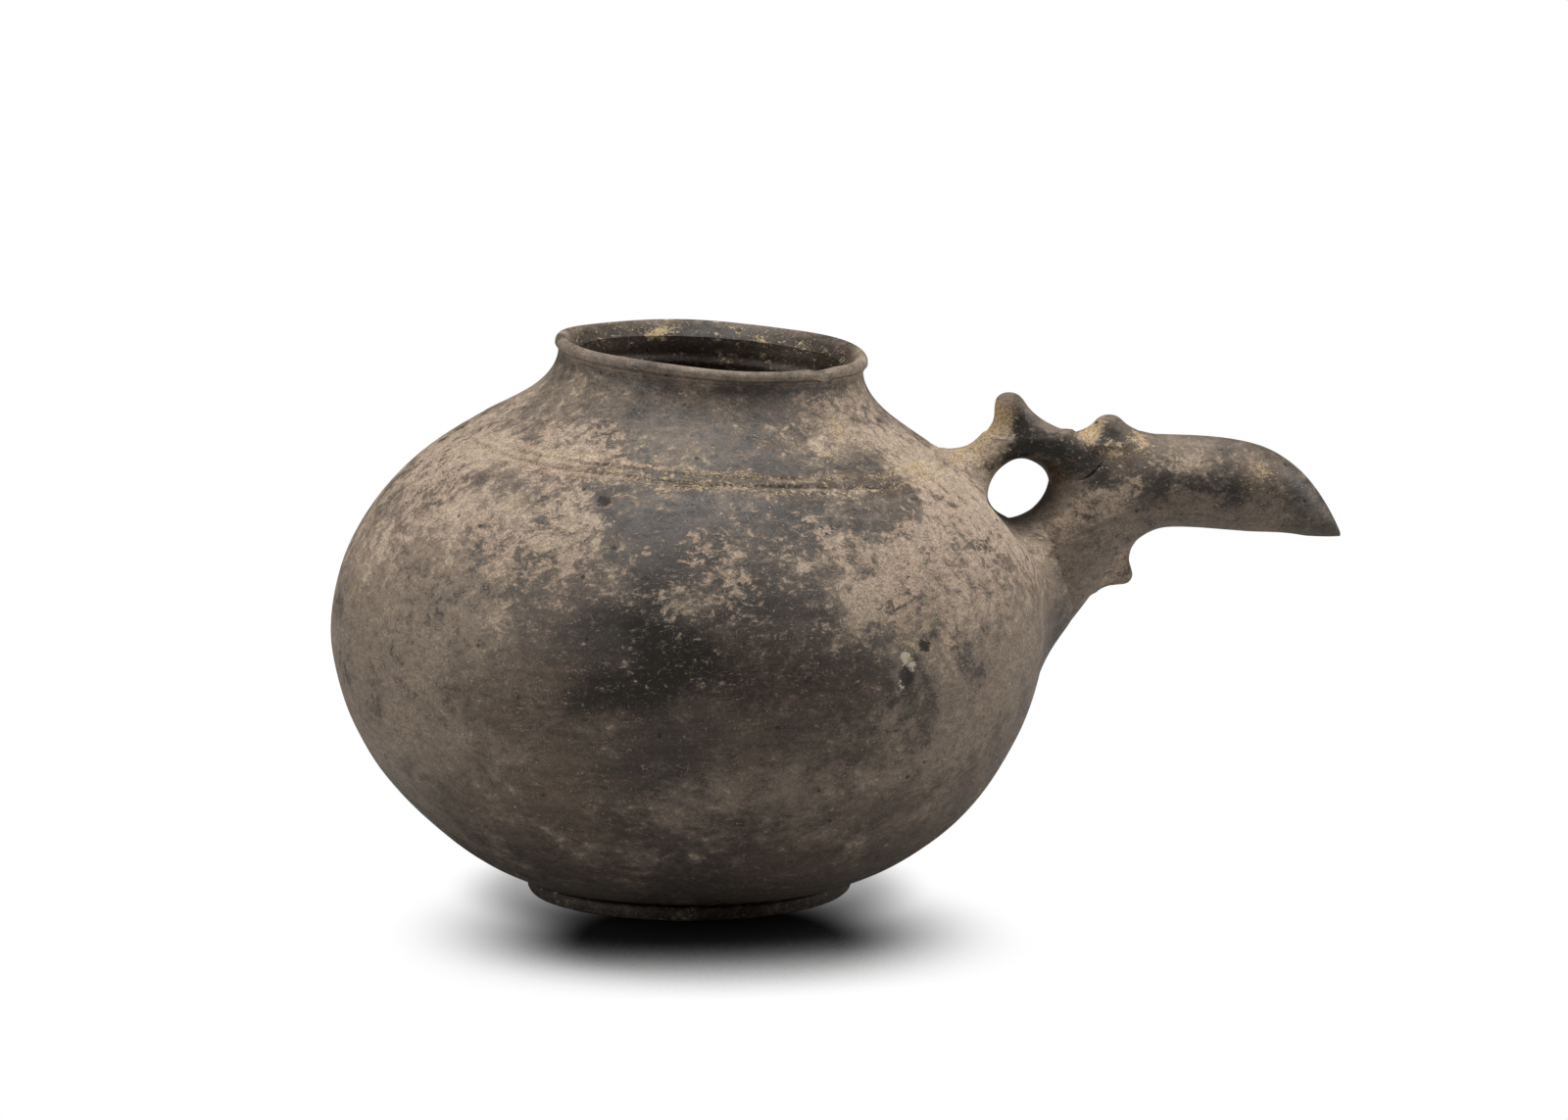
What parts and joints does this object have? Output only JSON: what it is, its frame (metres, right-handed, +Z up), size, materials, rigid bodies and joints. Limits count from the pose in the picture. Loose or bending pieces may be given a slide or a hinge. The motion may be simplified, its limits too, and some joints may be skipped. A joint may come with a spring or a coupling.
{
  "type": "spouted pitcher",
  "caption": "Globular burnished grey-ware pitcher on a low foot, with a collar neck, rolled lip and a bridged, horned spout that runs out to a down-curved beak for pouring.",
  "frame": {"origin": "centre of the foot, on the surface that the pitcher stands on", "axes": "+Z up, +X towards the tip of the spout, +Y to the left of someone who looks along the spout"},
  "size_m": [0.3047, 0.2118, 0.167],
  "materials": {
    "burnished_greyware": "burnished dark grey-brown fired clay with black smoke patches and pale earth crust",
    "brown_greyware": "browner fired clay, thinly burnished, with worn edges",
    "buff_encrusted_clay": "fired clay under a pinkish-buff earth crust, matt",
    "blackened_clay": "greenish-black smoked clay with ochre edges"
  },
  "bodies": {
    "root": {"foot_disc": "brown_greyware", "lower_bowl": "brown_greyware", "shoulder_dome": "burnished_greyware", "neck_collar": "burnished_greyware", "rim_coil": "brown_greyware", "spout_throat": "burnished_greyware", "spout_luting_coil": "buff_encrusted_clay", "spout_beak": "burnished_greyware", "bridge_strap": "buff_encrusted_clay", "rear_horn": "blackened_clay", "front_horn": "blackened_clay", "wattle_knob": "buff_encrusted_clay"}
  },
  "joints": []
}
